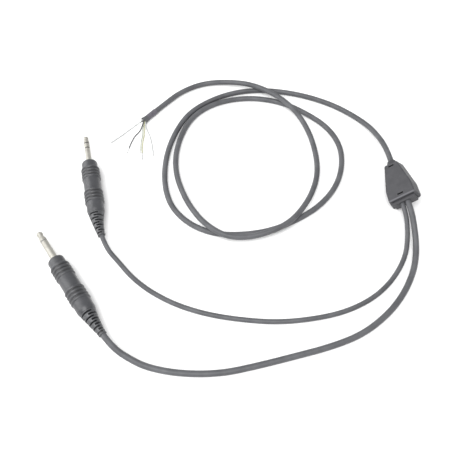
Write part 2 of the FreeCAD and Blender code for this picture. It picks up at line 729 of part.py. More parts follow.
def stripped_end(route):
    """Sleeve over the main cord's last stretch, and the jacket's flared mouth beyond it."""
    end = Vector(*route[-1])
    heading = (end - Vector(*route[-2])).normalize()
    sleeve_start = end - heading * SLEEVE_LENGTH
    sleeve = Part.makeCylinder(SLEEVE_R, SLEEVE_LENGTH, sleeve_start, heading)
    rims = [e for e in sleeve.Edges if e.Length > SLEEVE_R and len(e.Vertexes) == 1]
    sleeve = sleeve.makeFillet(SLEEVE_ROUND, rims)
    sleeve = sleeve.cut(Part.makeCylinder(MAIN_R + FIT, SLEEVE_LENGTH, sleeve_start, heading))
    outer = Part.makeCone(SLEEVE_R - FLARE_SET_IN, FLARE_R, FLARE_LENGTH, end, heading)
    inner = Part.makeCone(SLEEVE_R - FLARE_WALL, FLARE_R - FLARE_WALL, FLARE_LENGTH, end, heading)
    reach = 2 * FLARE_R
    above_ground = Part.makeBox(2 * reach, 2 * reach, reach, end - Vector(reach, reach, end.z))
    keep("end_sleeve", sleeve)
    keep("jacket_flare", outer.cut(inner).common(above_ground))


def lead(name, route, tip_length):
    """One insulated lead with its tinned end."""
    cord(name, route, LEAD_R)
    end = Vector(*route[-1])
    heading = (end - Vector(*route[-2])).normalize()
    keep(name + "_tip", rod(end, end + heading * tip_length, LEAD_TIP_R))


def main():
    os.makedirs("parts", exist_ok=True)
    mic_bend = Bend(MIC_BEND, MIC_BEND_DROP)
    phones_bend = Bend(PHONES_BEND, PHONES_BEND_DROP)
    place_plug("mic_plug", mic_plug(mic_bend), MIC_PLACE, MIC_HEADING)
    place_plug("phones_plug", phones_plug(phones_bend), PHONES_PLACE, PHONES_HEADING)
    exits = junction()
    mic_end = relief_run(mic_bend, MIC_PLACE, MIC_HEADING, LAST_RUN)
    phones_end = relief_run(phones_bend, PHONES_PLACE, PHONES_HEADING, LAST_RUN)
    cord("main_cord", exits["main"] + MAIN_ROUTE, MAIN_R, looped=True)
    cord("mic_leg", exits["mic"] + MIC_ROUTE + mic_end, MIC_CORD_R)
    cord("phones_leg", exits["phones"] + PHONES_ROUTE + phones_end, PHONES_CORD_R)
    stripped_end(MAIN_ROUTE)
    cord("screen_lead", SCREEN_ROUTE, SCREEN_R)
    for name, route, tip_length in LEADS:
        lead(name, route, tip_length)
    for name, shape in PARTS.items():
        box = shape.BoundBox
        print("%-28s %s vol %.1f  z %.2f..%.2f solids %d" % (
            name, shape.isValid(), shape.Volume, box.ZMin, box.ZMax, len(shape.Solids)))
        shape.exportStep("parts/" + name + ".step")


main()
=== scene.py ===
"""Looks of an aviation headset cord set: two moulded plugs, a Y junction box and their cords."""

import json
import math

import bmesh
import bpy
from mathutils import Matrix, Vector

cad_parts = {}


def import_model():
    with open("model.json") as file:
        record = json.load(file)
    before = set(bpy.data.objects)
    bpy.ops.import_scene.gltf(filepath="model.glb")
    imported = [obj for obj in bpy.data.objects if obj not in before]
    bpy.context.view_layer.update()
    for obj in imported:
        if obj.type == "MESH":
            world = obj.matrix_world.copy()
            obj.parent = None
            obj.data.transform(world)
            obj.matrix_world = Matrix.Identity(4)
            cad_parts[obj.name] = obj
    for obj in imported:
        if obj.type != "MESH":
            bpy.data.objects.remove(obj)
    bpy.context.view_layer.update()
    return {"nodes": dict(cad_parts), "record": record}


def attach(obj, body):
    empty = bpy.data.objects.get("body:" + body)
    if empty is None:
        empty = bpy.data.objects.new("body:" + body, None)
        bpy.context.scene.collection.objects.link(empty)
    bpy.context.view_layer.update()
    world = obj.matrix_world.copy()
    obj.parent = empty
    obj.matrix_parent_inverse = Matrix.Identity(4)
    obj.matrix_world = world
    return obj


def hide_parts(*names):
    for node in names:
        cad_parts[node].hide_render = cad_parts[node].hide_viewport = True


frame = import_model()

MM = 0.001

# Camera, in mm
EYE = (-3.0, -325.9, 489.1)
LOOKS_AT = (-3.0, 4.0, 0.0)
LENS = 50.76

# Cord diameters, in mm
MAIN_D = 5.2
MIC_D = 4.3
PHONES_D = 5.3
LEAD_D = 1.1

# Routes of the cords, in mm: the main cord from the junction box to its stripped end
MAIN_ROUTE = [
    (153.08, 70.08, 14.93), (151.53, 80.96, 15.35),
    (149, 96, 13), (146, 111, 8), (140, 127, 4), (127, 142, 2.6),
    (108, 157, 2.6), (84, 169, 2.6), (57, 177, 2.6), (29, 180, 2.6), (3, 176, 2.6),
    (-21, 165, 2.6), (-42, 148, 2.6), (-54, 126, 2.6), (-62, 100, 2.6), (-65, 74, 2.6),
    (-63, 47, 2.6), (-55, 24, 2.6), (-37, 5, 2.6), (-13, -5, 2.6), (13, -5, 2.6),
    (38, 0, 2.6), (62, 12, 2.6), (84, 28, 2.6), (101, 51, 2.6), (109, 77, 2.6),
    (109, 103, 2.6), (98, 127, 2.6), (79, 145, 2.6), (55, 161, 2.6), (27, 168, 2.6),
    (0, 166, 2.6), (-24, 156, 2.6), (-41, 139, 2.6), (-51, 114, 2.6), (-55, 88, 2.6),
    (-53, 64, 2.6), (-46, 42, 3.5), (-37, 21, 7.5), (-24, 2, 9.5), (-6, -11, 9.4),
    (13, -11, 6.4), (33, -7, 8.8), (52, 3, 9.5), (65, 19, 7.5), (77, 42, 3.6),
    (84, 66, 2.6), (84, 93, 3), (78, 121, 5.5), (65, 146, 9.4), (46, 167, 9.4),
    (22, 182, 9), (-4, 191, 4), (-30, 190, 2.6), (-53, 177, 2.8), (-70, 158, 3.1),
    (-86, 139, 3.1),
]

# The two legs, from the junction box to their plugs
MIC_ROUTE = [
    (157.59, 22.94, 11.43), (159, 13.05, 11.05),
    (159.5, 1, 7.5), (158.5, -12, 3.5), (154.5, -27, 2.15), (146.5, -42, 2.15),
    (134, -58, 2.15), (117, -72, 2.15), (94, -83, 2.15), (68, -89, 2.15), (39, -92, 2.15),
    (10, -90, 2.15), (-20, -85, 2.15), (-47, -76, 2.15), (-70, -63, 2.15), (-87, -49, 2.8),
    (-99, -35, 4.5), (-110.68, -22.56, 7.07), (-116.03, -9.67, 8.03),
]
PHONES_ROUTE = [
    (161.92, 23.43, 14.79), (163.33, 13.54, 14.41),
    (164.5, 1, 11), (165.5, -12, 5.5), (164, -27, 2.65), (158.5, -45, 2.65),
    (147, -66, 2.65), (131, -85, 2.65), (108, -103, 2.65), (81, -114, 2.65), (52, -122, 2.65),
    (22, -130, 2.65), (-9, -137, 2.65), (-41, -137, 2.65), (-67, -132, 2.8), (-82, -125, 4),
    (-95.65, -116.88, 7.18), (-104.43, -106.02, 8.08),
]

# Leads, fanned out from the stripped end of the main cord
SCREEN_ROUTE = [
    (-87.3, 139.7, 2.9), (-91.2, 136, 2.5), (-97, 131, 1), (-104, 124, 0.7),
    (-112, 115, 0.7), (-121, 107, 0.7),
]
BLACK_ROUTE = [
    (-86.3, 138.9, 4.6), (-89.3, 134.7, 4), (-91, 128, 1.6), (-93, 122, 0.6),
    (-99, 114, 0.6), (-102, 100, 0.6),
]
YELLOW_ROUTE = [
    (-86.1, 138.6, 2.8), (-89, 134.3, 2.2), (-88.4, 126, 0.8), (-88, 116, 0.6),
    (-89.2, 106, 0.6), (-88.3, 94, 0.6),
]
GREEN_ROUTE = [
    (-86.5, 138.9, 1.4), (-90, 134.8, 1.1), (-90.3, 126, 0.7), (-89.8, 116, 0.6),
    (-91, 106, 0.6), (-90.2, 97, 0.6),
]
GREY_ROUTE = [
    (-85, 137.8, 3.4), (-88, 133.6, 3.1), (-86.7, 126, 1.3), (-82.5, 117, 0.6),
    (-79.5, 106, 0.6), (-77.6, 94, 0.6),
]

# Leads: route, length in m and length of the tinned end in mm
LEADS = [
    ("black", BLACK_ROUTE, 0.043, 8.0), ("yellow", YELLOW_ROUTE, 0.0455, 9.5),
    ("green", GREEN_ROUTE, 0.043, 4.5), ("grey", GREY_ROUTE, 0.046, 4.0),
]

# Bare strands of the tinned lead ends and of the screen: radii and length of one turn, in mm
TIP_OVERLAP = 0.3
TIP_BUNDLE_R = 0.24
TIP_STRAND_R = 0.12
TIP_LAY = 5.0
TIP_STRANDS = 6
SCREEN_BUNDLE_R = 0.42
SCREEN_STRAND_R = 0.17
SCREEN_LAY = 6.5
SCREEN_STRANDS = 10
STRAY_R = 0.08
FLOOR_GAP = 0.02

# Plugs: stations along a plug in mm, the finger towards +X
TIP_END = 41.3
NOSE_FRONT = 7.0
NOSE_R = 7.5
NOSE_REAR = -0.4
NOSE_REAR_R = 7.2
FRONT_CREST = -2.5
FRONT_PITCH = 3.66
FRONT_RIB_R = 8.7
REAR_CREST = -30.1
REAR_PITCH = 3.73
REAR_RIB_R = 8.85
RIB_COUNT = 4
RIB_CREST = 1.3
RIB_FLANK = 0.65
BARREL_R = 7.9
SHOULDER_END = -51.4
SHOULDER_R = 7.85
HANDLE_END = -54.6
HANDLE_END_R = 7.0
CAVITY_R = 5.4
NOSE_WALL = 1.5
RELIEF_LENGTH = 24.0
RELIEF_STEPS = [(0.0, 7.0), (3.4, 6.45), (7.4, 5.6), (12.4, 4.85), (17.4, 4.1), (22.2, 3.45)]
LIP_START = 22.8
LIP_R = 3.6
SLOT_COUNT = 9
FIRST_SLOT = 1.2
SLOT_PITCH = 2.5
SLOT_WIDTH = 1.25
WEB_HALF = 25.0
NO_SLOT = -1
SLOT_SHADE_FROM = 0.3
SLOT_SHADE_OVER = 0.5
AXIS_HEIGHT = 8.85
PARTING_LINE = 0.07
FIT = 0.02

# Contacts: half width of an insulating ring, the collar of the sleeve, the tube of the middle contact
RING_HALF = 0.6
CONTACT_EDGE = 0.12
COLLAR_FRONT = 2.3
COLLAR_R = 4.2
COLLAR_END = -2.0
MIDDLE_BORE_R = 1.02
MIDDLE_TUBE_R = 1.45
MIDDLE_TUBE_END = -7.0

# Each plug: place, heading, bend and lean of its strain relief, turn of its webs, cord, finger,
# shoulder, tip outline as (distance behind the end, radius, corner radius), rings behind the end,
# bore of the sleeve, radius and end of the tip's rod
PLUGS = {
    "mic_plug": {
        "place": (-135.4, 66.4, AXIS_HEIGHT), "heading": 102.8, "bend": 10.5, "lean": 22.0,
        "web_turn": 45.0, "cord_r": 2.15, "finger_r": 2.616, "shoulder_r": 2.9,
        "tip": [(0.0, 1.9, 1.1), (2.2, 2.6, 0.9), (4.2, 2.1, 0.8), (5.6, 2.616, 0.5)],
        "rings": (8.7, 15.1), "bore_r": 1.95, "rod_r": 0.6, "rod_end": -12.0,
    },
    "phones_plug": {
        "place": (-149.4, -41.6, AXIS_HEIGHT), "heading": 124.2, "bend": 6.0, "lean": 38.0,
        "web_turn": 55.0, "cord_r": 2.65, "finger_r": 3.175, "shoulder_r": 3.4,
        "tip": [(0.0, 1.9, 1.3), (2.0, 3.1, 1.4), (5.0, 2.3, 1.0), (8.3, 3.175, 0.6)],
        "rings": (11.2,), "bore_r": 2.0, "rod_r": 1.1, "rod_end": -9.0,
    },
}

# Junction box: place in mm, its turns about X, Y and Z in degrees, and its length in mm
BOX_PLACE = (150.0, 64.4, 19.72)
BOX_TURNS = (37.7, 2.2, -81.9)
BOX_LENGTH = 38.7

# Stripped end of the main cord, in mm
SLEEVE_R = 3.0
SLEEVE_LENGTH = 12.0
FLARE_R = 3.8
FLARE_LENGTH = 5.5
FLARE_WALL = 0.5


def linear(red, green, blue):
    """A display colour, 0 to 255, as the linear colour that a shader takes."""
    parts = []
    for value in (red, green, blue):
        share = value / 255
        parts.append(share / 12.92 if share <= 0.04045 else ((share + 0.055) / 1.055) ** 2.4)
    return (*parts, 1.0)


class Finish:
    """A node material on a Principled shader, with helpers for its textures."""

    def __init__(self, name, roughness, metallic=0.0, specular=0.5):
        self.material = bpy.data.materials.new(name)
        self.material.use_nodes = True
        self.nodes = self.material.node_tree.nodes
        self.links = self.material.node_tree.links
        self.shader = self.nodes["Principled BSDF"]
        self.shader.inputs["Roughness"].default_value = roughness
        self.shader.inputs["Metallic"].default_value = metallic
        self.shader.inputs["Specular IOR Level"].default_value = specular
        self.coordinates = self.nodes.new("ShaderNodeTexCoord").outputs["Object"]
        self.normal = None

    def noise(self, scale, detail=2.0):
        """Cloudy noise, around 0.5; a larger scale gives a finer grain."""
        texture = self.nodes.new("ShaderNodeTexNoise")
        texture.inputs["Scale"].default_value = scale
        texture.inputs["Detail"].default_value = detail
        self.links.new(self.coordinates, texture.inputs["Vector"])
        return texture.outputs["Fac"]

    def ramp(self, value, stops):
        """Colour ramp from (position, colour) stops."""
        node = self.nodes.new("ShaderNodeValToRGB")
        elements = node.color_ramp.elements
        while len(elements) < len(stops):
            elements.new(0.5)
        for element, (position, colour) in zip(elements, stops):
            element.position = position
            element.color = colour
        self.links.new(value, node.inputs["Fac"])
        return node.outputs["Color"]

    def spread(self, value, low, high, start=0.3, end=0.7):
        """A value stretched onto a new range."""
        node = self.nodes.new("ShaderNodeMapRange")
        node.inputs["From Min"].default_value = start
        node.inputs["From Max"].default_value = end
        node.inputs["To Min"].default_value = low
        node.inputs["To Max"].default_value = high
        self.links.new(value, node.inputs["Value"])
        return node.outputs["Result"]

    def mix(self, factor, first, second):
        """One colour laid over another."""
        node = self.nodes.new("ShaderNodeMix")
        node.data_type = "RGBA"
        for value, socket in ((factor, "Factor"), (first, "A"), (second, "B")):
            kind = "VALUE" if socket == "Factor" else "RGBA"
            target = next(i for i in node.inputs if i.name == socket and i.type == kind)
            if isinstance(value, bpy.types.NodeSocket):
                self.links.new(value, target)
            else:
                target.default_value = value
        return next(o for o in node.outputs if o.type == "RGBA")

    def placed(self, place, turns):
        """The parts X, Y and Z of the coordinates of a body that stands at a place, turned."""
        mapping = self.nodes.new("ShaderNodeMapping")
        mapping.vector_type = "TEXTURE"
        mapping.inputs["Location"].default_value = place
        mapping.inputs["Rotation"].default_value = turns
        self.links.new(self.coordinates, mapping.inputs["Vector"])
        split = self.nodes.new("ShaderNodeSeparateXYZ")
        self.links.new(mapping.outputs["Vector"], split.inputs["Vector"])
        return [split.outputs[axis] for axis in ("X", "Y", "Z")]

    def reckon(self, kind, first, second=0.0):
        """One step of arithmetic on two values."""
        node = self.nodes.new("ShaderNodeMath")
        node.operation = kind
        for value, socket in ((first, node.inputs[0]), (second, node.inputs[1])):
            if isinstance(value, bpy.types.NodeSocket):
                self.links.new(value, socket)
            else:
                socket.default_value = value
        return node.outputs["Value"]

    def mesh_value(self, name):
        """A value that a mesh holds for each of its points, or 0 where it holds none."""
        node = self.nodes.new("ShaderNodeAttribute")
        node.attribute_name = name
        return node.outputs["Fac"]

    def band(self, value, low, high, soft):
        """1 between two distances in mm, falling to 0 on both sides."""
        rise = self.spread(value, 0.0, 1.0, (low - soft) * MM, low * MM)
        fall = self.spread(value, 1.0, 0.0, high * MM, (high + soft) * MM)
        return self.reckon("MULTIPLY", rise, fall)

    def colour(self, value):
        self.links.new(value, self.shader.inputs["Base Color"])

    def rough(self, value):
        self.links.new(value, self.shader.inputs["Roughness"])

    def bump(self, height, depth, strength=1.0):
        """Add a bump layer; depth is the height of the texture in mm."""
        node = self.nodes.new("ShaderNodeBump")
        node.inputs["Distance"].default_value = depth * MM
        node.inputs["Strength"].default_value = strength
        self.links.new(height, node.inputs["Height"])
        if self.normal is not None:
            self.links.new(self.normal, node.inputs["Normal"])
        self.normal = node.outputs["Normal"]
        self.links.new(self.normal, self.shader.inputs["Normal"])


def jacket_finish(name, dark, light):
    """Flexible cord jacket: soft mottling, a fine grain and a little dust."""
    finish = Finish(name, 0.5, specular=0.45)
    tone = finish.noise(90, 4.0)
    finish.colour(finish.ramp(tone, [(0.35, dark), (0.65, light)]))
    finish.rough(finish.spread(finish.noise(260, 3.0), 0.42, 0.6))
    finish.bump(finish.noise(220, 1.0), 0.12, 0.5)
    finish.bump(finish.noise(4200, 2.0), 0.015, 0.6)
    return finish.material


def rubber_finish():
    """Moulded rubber of the handles and strain reliefs, with painted shade between the ribs and in the
    slots.
    """
    finish = Finish("handle_rubber", 0.42, specular=0.8)
    tone = finish.noise(120, 5.0)
    rubber = finish.ramp(tone, [(0.3, linear(43, 44, 48)), (0.7, linear(56, 57, 61))])
    softer = finish.ramp(tone, [(0.3, linear(54, 55, 58)), (0.7, linear(68, 69, 72))])
    along, aside, up = finish.placed((0.0, 0.0, 0.0), (0.0, 0.0, 0.0))
    relief = finish.band(along, HANDLE_END - RELIEF_LENGTH - 1.0, HANDLE_END + 0.1, 0.1)
    rubber = finish.mix(relief, rubber, softer)
    # Painted shade: the rubber turns near black deep inside the slots of the strain relief.
    rubber = finish.mix(finish.mesh_value("slot_painted_shade"), rubber, linear(20, 20, 22))
    # Painted shade: the grooves between the ribs of the handle are darkened.
    aside_squared = finish.reckon("MULTIPLY", aside, aside)
    up_squared = finish.reckon("MULTIPLY", up, up)
    radius = finish.reckon("SQRT", finish.reckon("ADD", aside_squared, up_squared))
    front_end = FRONT_CREST - (RIB_COUNT - 1) * FRONT_PITCH
    rear_end = REAR_CREST - (RIB_COUNT - 1) * REAR_PITCH
    front_rows = finish.band(along, front_end - 1.0, FRONT_CREST + 1.0, 0.5)
    rear_rows = finish.band(along, rear_end - 1.0, REAR_CREST + 1.0, 0.5)
    rows = finish.reckon("ADD", front_rows, rear_rows)
    deep = finish.spread(radius, 1.0, 0.0, (BARREL_R + 0.05) * MM, (BARREL_R + 0.45) * MM)
    finish.colour(finish.mix(finish.reckon("MULTIPLY", rows, deep), rubber, linear(22, 22, 25)))
    finish.rough(finish.spread(finish.noise(350, 3.0), 0.36, 0.48))
    finish.bump(finish.noise(3600, 3.0), 0.02, 0.6)
    return finish.material


def junction_finish():
    """Fine matte plastic of the junction box, with a painted highlight along the cover's lip."""
    finish = Finish("junction_plastic", 0.5, specular=0.3)
    tone = finish.noise(140, 4.0)
    plastic = finish.ramp(tone, [(0.3, linear(60, 60, 63)), (0.7, linear(68, 68, 71))])
    place = [value * MM for value in BOX_PLACE]
    along, _, up = finish.placed(place, [math.radians(turn) for turn in BOX_TURNS])
    # Painted highlight: a paler band along the rounded lip of the cover, at its wide end.
    lip_highlight_band = finish.band(along, BOX_LENGTH - 1.35, BOX_LENGTH - 0.35, 0.35)
    lip = finish.reckon("MULTIPLY", lip_highlight_band, finish.band(up, -0.9, 1.0, 0.3))
    finish.colour(finish.mix(lip, plastic, linear(94, 94, 98)))
    finish.rough(finish.spread(finish.noise(500, 3.0), 0.38, 0.55))
    finish.bump(finish.noise(5200, 2.0), 0.02, 0.6)
    return finish.material


def nickel_finish():
    """Nickel plate on turned contacts."""
    finish = Finish("nickel", 0.22, metallic=1.0)
    tone = finish.noise(180, 3.0)
    finish.colour(finish.ramp(tone, [(0.3, linear(174, 172, 165)), (0.7, linear(188, 186, 179))]))
    finish.rough(finish.spread(finish.noise(900, 3.0), 0.52, 0.64))
    finish.bump(finish.noise(2500, 2.0), 0.004, 0.5)
    return finish.material


def plain_finish(name, dark, light, roughness, scale=300):
    """Small moulded or drawn pieces: a slightly uneven tone and a fine grain."""
    finish = Finish(name, roughness)
    finish.colour(finish.ramp(finish.noise(scale, 3.0), [(0.3, dark), (0.7, light)]))
    finish.rough(finish.spread(finish.noise(scale * 3, 2.0), roughness - 0.08, roughness + 0.08))
    finish.bump(finish.noise(5000, 2.0), 0.01, 0.5)
    return finish.material


def metal_finish(name, dark, light, roughness):
    """Brass and tinned copper: a slightly uneven tone and a fine grain."""
    finish = Finish(name, roughness, metallic=1.0)
    finish.colour(finish.ramp(finish.noise(700, 3.0), [(0.3, dark), (0.7, light)]))
    finish.rough(finish.spread(finish.noise(1500, 2.0), roughness - 0.08, roughness + 0.1))
    finish.bump(finish.noise(4000, 2.0), 0.01, 0.5)
    return finish.material


FINISHES = {
    "handle": rubber_finish(),
    "jacket": jacket_finish("cord_jacket", linear(75, 76, 79), linear(88, 89, 92)),
    "junction": junction_finish(),
    "grommet": plain_finish("grommet_rubber", linear(64, 65, 68), linear(74, 75, 78), 0.5),
    "contact": nickel_finish(),
    "insulator": plain_finish("insulator_plastic", linear(30, 30, 31), linear(42, 42, 43), 0.35),
    "inner_mould": plain_finish(
        "inner_mould_plastic", linear(190, 190, 184), linear(205, 205, 200), 0.5),
    "crimp": metal_finish("crimp_brass", linear(196, 164, 96), linear(214, 184, 118), 0.3),
    "wire": plain_finish("wire_insulation", linear(40, 40, 42), linear(52, 52, 54), 0.4),
    "splice_sleeve": plain_finish("splice_tubing", linear(40, 40, 41), linear(52, 52, 54), 0.45),
    "end_sleeve": plain_finish("end_tubing", linear(82, 80, 87), linear(98, 95, 103), 0.4),
    "tinned": metal_finish("tinned_strands", linear(206, 207, 207), linear(222, 223, 223), 0.45),
    "black_lead": plain_finish("black_insulation", linear(66, 66, 68), linear(86, 86, 88), 0.4),
    "yellow_lead": plain_finish("yellow_insulation", linear(172, 172, 140), linear(186, 186, 156), 0.4),
    "green_lead": plain_finish("green_insulation", linear(176, 181, 172), linear(188, 193, 184), 0.4),
    "grey_lead": plain_finish("grey_insulation", linear(166, 168, 168), linear(180, 182, 182), 0.4),
}
SLOT_OF = {row["node"]: row["material_slot"] for row in frame["record"]["subparts"]}


def dress(node):
    """Give a CAD node the finish of its material slot."""
    piece = frame["nodes"][node]
    piece.data.materials.clear()
    piece.data.materials.append(FINISHES[SLOT_OF[node]])


def smooth_curve(name, route, diameter, steps=10):
    """A cord: a smooth curve through the neighbourhood of its route, with a round section."""
    curve = bpy.data.curves.new(name, "CURVE")
    curve.dimensions = "3D"
    spline = curve.splines.new("NURBS")
    spline.points.add(len(route) - 1)
    for point, place in zip(spline.points, route):
        point.co = (place[0] * MM, place[1] * MM, place[2] * MM, 1.0)
    spline.order_u = 3
    spline.use_endpoint_u = True
    spline.resolution_u = steps
    curve.bevel_depth = diameter / 2 * MM
    curve.bevel_resolution = 8
    curve.use_fill_caps = True
    piece = bpy.data.objects.new(name, curve)
    bpy.context.scene.collection.objects.link(piece)
    return piece


def cord(name, node, route, diameter):
    """Make and place one cord."""
    piece = smooth_curve(name, route, diameter)
    piece.data.materials.append(FINISHES[SLOT_OF[node]])
    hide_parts(node)
    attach(piece, "root")


def new_piece(name, build, node, matrix=None, crease=40.0):
    """Turn a bmesh in metres into a piece that takes the place of a CAD node."""
    bmesh.ops.recalc_face_normals(build, faces=build.faces)
    mesh = bpy.data.meshes.new(name)
    build.to_mesh(mesh)
    build.free()
    mesh.polygons.foreach_set("use_smooth", [True] * len(mesh.polygons))
    mesh.set_sharp_from_angle(angle=math.radians(crease))
    mesh.materials.append(FINISHES[SLOT_OF[node]])
    piece = bpy.data.objects.new(name, mesh)
    bpy.context.scene.collection.objects.link(piece)
    if matrix is not None:
        piece.matrix_world = matrix
    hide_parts(node)
    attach(piece, "root")
    return piece


def rounded(corners, closed=False, steps=4):
    """Points of an outline from (along, out, corner radius) corners."""
    points = []
    count = len(corners)
    for i, (along, out, radius) in enumerate(corners):
        here = Vector((along, out))
        if radius == 0 or (not closed and i in (0, count - 1)):
            points.append(here)
            continue
        before = (Vector(corners[i - 1][:2]) - here).normalized()
        after = (Vector(corners[(i + 1) % count][:2]) - here).normalized()
        half = before.angle(after) / 2
        inward = (before + after).normalized()
        centre = here + inward * (radius / math.sin(half))
        start = here + before * (radius / math.tan(half)) - centre
        end = here + after * (radius / math.tan(half)) - centre
        turn = start.angle_signed(end)
        for k in range(steps + 1):
            angle = -turn * k / steps
            spun = Vector((
                start.x * math.cos(angle) - start.y * math.sin(angle),
                start.x * math.sin(angle) + start.y * math.cos(angle)))
            points.append(centre + spun)
    return points


def skin(build, rings, closed):
    """Faces between rings of vertices; a ring of one vertex is a pole."""
    pairs = list(zip(rings, rings[1:]))
    if closed:
        pairs.append((rings[-1], rings[0]))
    for first, second in pairs:
        count = max(len(first), len(second))
        for j in range(count):
            k = (j + 1) % count
            corners = [first[j % len(first)], first[k % len(first)]]
            corners += [second[k % len(second)], second[j % len(second)]]
            apart = [v for n, v in enumerate(corners) if v not in corners[:n]]
            if len(apart) > 2:
                build.faces.new(apart)


def lathe(outline, segments=112, closed=False, seam=0.0):
    """A turned body about X, in metres; seam is the height of a parting line on each side."""
    build = bmesh.new()
    rings = []
    for along, out in outline:
        if out < 1e-6:
            rings.append([build.verts.new((along * MM, 0.0, 0.0))])
            continue
        ring = []
        for j in range(segments):
            angle = math.tau * j / segments
            on_seam = j in (segments // 4, 3 * segments // 4) and out > CAVITY_R + 1.0
            radius = out + (seam if on_seam else 0.0)
            place = Vector((along, radius * math.sin(angle), radius * math.cos(angle)))
            ring.append(build.verts.new(place * MM))
        rings.append(ring)
    skin(build, rings, closed)
    return build


def plug_matrix(plug):
    """Where a plug lies, as a matrix in metres."""
    turned = Matrix.Rotation(math.radians(plug["heading"]), 4, "Z")
    return Matrix.Translation(Vector(plug["place"]) * MM) @ turned


def rib_corners(crest, pitch, rib_r):
    """Outline corners of a row of ribs."""
    corners = []
    for i in range(RIB_COUNT):
        front = crest - i * pitch + RIB_CREST / 2
        rear = front - RIB_CREST
        corners += [
            (front + RIB_FLANK, BARREL_R, 0.4), (front, rib_r, 1.1),
            (rear, rib_r, 1.1), (rear - RIB_FLANK, BARREL_R, 0.4)]
    return corners


def handle_mesh(plug):
    """Ribbed handle: rounded nose, two rows of ribs, a shoulder and a hollow inside."""
    bore = plug["shoulder_r"] + FIT
    wall = NOSE_FRONT - NOSE_WALL
    corners = [(NOSE_FRONT, bore, 0.2), (NOSE_FRONT, NOSE_R, 1.6), (NOSE_REAR, NOSE_REAR_R, 0)]
    corners.append((NOSE_REAR - 0.25, BARREL_R, 0))
    corners += rib_corners(FRONT_CREST, FRONT_PITCH, FRONT_RIB_R)
    corners += rib_corners(REAR_CREST, REAR_PITCH, REAR_RIB_R)
    corners += [(SHOULDER_END, SHOULDER_R, 6.0), (HANDLE_END, HANDLE_END_R, 0.3)]
    corners += [(HANDLE_END, CAVITY_R, 0), (wall, CAVITY_R, 0), (wall, bore, 0)]
    return lathe(rounded(corners, closed=True), closed=True, seam=PARTING_LINE)


def sleeve_mesh(plug):
    """Long rear contact, with a shoulder and a collar inside the handle."""
    finger = plug["finger_r"]
    front = TIP_END - plug["rings"][-1] - RING_HALF
    bore = plug["bore_r"]
    return lathe(rounded([
        (front, bore, 0), (front, finger, 0.15), (NOSE_FRONT + FIT, finger, 0),
        (NOSE_FRONT + FIT, plug["shoulder_r"], 0), (COLLAR_FRONT, plug["shoulder_r"], 0),
        (COLLAR_FRONT, COLLAR_R, 0), (COLLAR_END, COLLAR_R, 0), (COLLAR_END, bore, 0),
    ], closed=True), segments=96, closed=True)


def tip_mesh(plug):
    """Tip of the finger: a rounded end, a waist and a collar, on a thin rod."""
    finger = plug["finger_r"]
    rear = TIP_END - plug["rings"][0] + RING_HALF
    corners = [(TIP_END, 0, 0)]
    corners += [(TIP_END - behind, radius, rounding) for behind, radius, rounding in plug["tip"]]
    corners += [(rear, finger, CONTACT_EDGE), (rear, plug["rod_r"], 0)]
    corners += [(plug["rod_end"], plug["rod_r"], 0), (plug["rod_end"], 0, 0)]
    return lathe(rounded(corners, steps=8), segments=96)


def ring_mesh(plug):
    """Middle contact between the two insulating rings."""
    finger = plug["finger_r"]
    front = TIP_END - plug["rings"][0] - RING_HALF
    rear = TIP_END - plug["rings"][1] + RING_HALF
    return lathe(rounded([
        (front, MIDDLE_BORE_R, 0), (front, finger, CONTACT_EDGE), (rear, finger, CONTACT_EDGE),
        (rear, MIDDLE_TUBE_R, 0), (MIDDLE_TUBE_END, MIDDLE_TUBE_R, 0),
        (MIDDLE_TUBE_END, MIDDLE_BORE_R, 0),
    ], closed=True), segments=96, closed=True)


def blend(steps, at):
    """Value at a distance, between the steps of a list."""
    for (d0, r0), (d1, r1) in zip(steps, steps[1:]):
        if at <= d1:
            return r0 + (r1 - r0) * (at - d0) / (d1 - d0)
    return steps[-1][1]


def relief_rows():
    """Rows across the strain relief: distance, radius, and the slot that cuts it and how deep."""
    edge_distances = (0.44, 0.3, 0.16, 0.06, 0.0)
    edge_cuts = (0.0, 0.03, 0.1, 0.2, 0.38)
    into_slot = 0.02
    whole_slot = 9.0
    rows = [
        (0.1, HANDLE_END_R - 0.16, NO_SLOT, 0.0), (0.2, HANDLE_END_R - 0.04, NO_SLOT, 0.0),
        (0.4, None, NO_SLOT, 0.0),
    ]
    for i in range(SLOT_COUNT):
        front = FIRST_SLOT + i * SLOT_PITCH
        rear = front + SLOT_WIDTH
        rows += [(front - at, None, i, cut) for at, cut in zip(edge_distances, edge_cuts)]
        rows += [(front + into_slot, None, i, whole_slot), (rear - into_slot, None, i, whole_slot)]
        back = zip(edge_distances[::-1], edge_cuts[::-1])
        rows += [(rear + at, None, i, cut) for at, cut in back]
    rows += [
        (LIP_START, None, NO_SLOT, 0.0), (LIP_START + 0.03, LIP_R - 0.14, NO_SLOT, 0.0),
        (LIP_START + 0.1, LIP_R - 0.04, NO_SLOT, 0.0), (LIP_START + 0.25, LIP_R, NO_SLOT, 0.0),
        (RELIEF_LENGTH - 0.3, LIP_R, NO_SLOT, 0.0), (RELIEF_LENGTH - 0.12, LIP_R - 0.05, NO_SLOT, 0.0),
        (RELIEF_LENGTH - 0.03, LIP_R - 0.16, NO_SLOT, 0.0), (RELIEF_LENGTH, LIP_R - 0.34, NO_SLOT, 0.0),
    ]
    return rows


def relief_angles(turn):
    """Angles round the strain relief, with close pairs at the edges of the webs."""
    edges = []
    for quarter in range(4):
        for side in (-WEB_HALF, WEB_HALF):
            edges.append((turn + 90.0 * quarter + side) % 360.0)
    angles = []
    for edge in edges:
        angles += [edge - 0.8, edge - 0.25, edge + 0.25, edge + 0.8]
    for k in range(60):
        if all(abs((k * 6.0 - edge + 180.0) % 360.0 - 180.0) > 2.0 for edge in edges):
            angles.append(k * 6.0)
    return sorted(angle % 360.0 for angle in angles)


